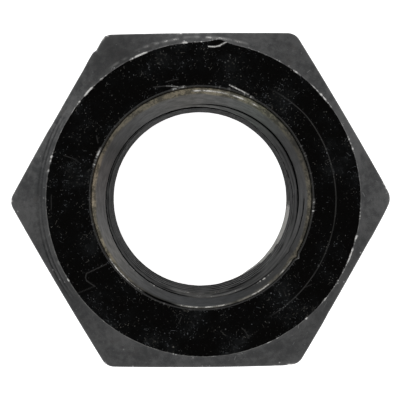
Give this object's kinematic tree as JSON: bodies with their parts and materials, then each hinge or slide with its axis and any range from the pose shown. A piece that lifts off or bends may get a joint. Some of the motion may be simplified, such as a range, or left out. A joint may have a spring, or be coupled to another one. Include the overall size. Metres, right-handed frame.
{
  "type": "hex nut",
  "caption": "Plain hexagon nut in black-finished steel with chamfered faces, countersunk bore and internal right-hand fine thread.",
  "frame": {"origin": "centre of the lower bearing face, on the thread axis", "axes": "+Z along the thread axis, out of the upper bearing face; +X towards a corner of the hexagon; +Y square to a flat"},
  "size_m": [0.0182, 0.016, 0.0084],
  "materials": {
    "black_steel": "black oxide, oiled; glossy on the bearing faces and satin on the chamfers and flats"
  },
  "bodies": {
    "root": {"hex_nut": "black_steel"}
  },
  "joints": []
}
